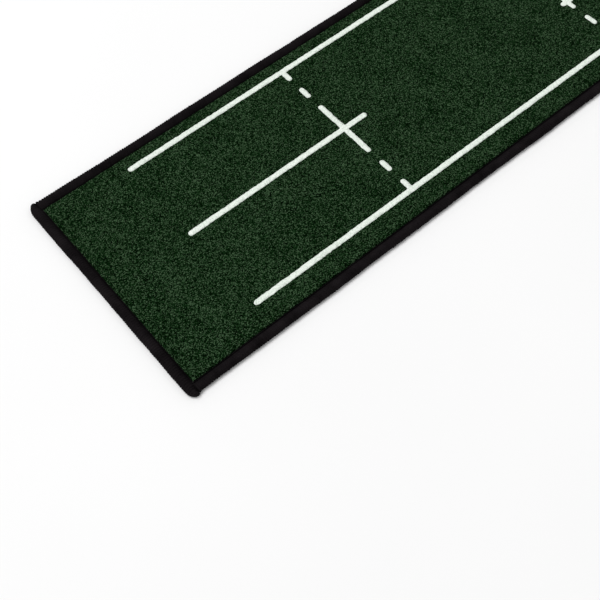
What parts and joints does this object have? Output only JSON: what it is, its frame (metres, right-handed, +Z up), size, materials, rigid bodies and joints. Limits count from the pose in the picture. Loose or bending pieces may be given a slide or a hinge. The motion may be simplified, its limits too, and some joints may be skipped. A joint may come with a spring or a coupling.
{
  "type": "practice putting mat",
  "caption": "Long narrow green cut-pile putting mat with white alignment lines and cross rows, bound in black yarn on all sides, on a non-slip rubber backing.",
  "frame": {"origin": "on the floor under the middle of the mat", "axes": "+X across the mat to the right as seen from the near end, +Y along the mat from the near end to the far end, +Z up out of the pile"},
  "size_m": [0.304, 2.4, 0.008],
  "materials": {
    "green_pile": "short dense cut pile, dark green, velvety",
    "white_pile": "undyed short cut pile, off-white with a slight green tint",
    "scrim_cloth": "black plain woven polypropylene cloth",
    "latex": "matt latex coat",
    "rubber_backing": "matt black rubber with a fine raised grip pattern",
    "binding_yarn": "black overlock yarn, wrapped close, slight sheen",
    "seam_thread": "black twisted polyester thread"
  },
  "bodies": {
    "root": {"green_pile": "green_pile", "left_rail_line": "white_pile", "right_rail_line": "white_pile", "centre_line_cross": "white_pile", "row_1_left_dash": "white_pile", "row_1_right_dash": "white_pile", "row_2_left_dash": "white_pile", "row_2_right_dash": "white_pile", "row_2_gate_bar": "white_pile", "row_3_left_dash": "white_pile", "row_3_right_dash": "white_pile", "row_3_gate_bar": "white_pile", "row_4_left_dash": "white_pile", "row_4_right_dash": "white_pile", "row_4_gate_bar": "white_pile", "row_5_left_dash": "white_pile", "row_5_right_dash": "white_pile", "row_5_gate_bar": "white_pile", "row_6_left_dash": "white_pile", "row_6_right_dash": "white_pile", "row_6_gate_bar": "white_pile", "woven_scrim": "scrim_cloth", "latex_coat": "latex", "rubber_backing": "rubber_backing", "near_end_binding": "binding_yarn", "far_end_binding": "binding_yarn", "left_side_binding": "binding_yarn", "right_side_binding": "binding_yarn", "near_end_seam_thread": "seam_thread", "far_end_seam_thread": "seam_thread", "left_side_seam_thread": "seam_thread", "right_side_seam_thread": "seam_thread"}
  },
  "joints": []
}
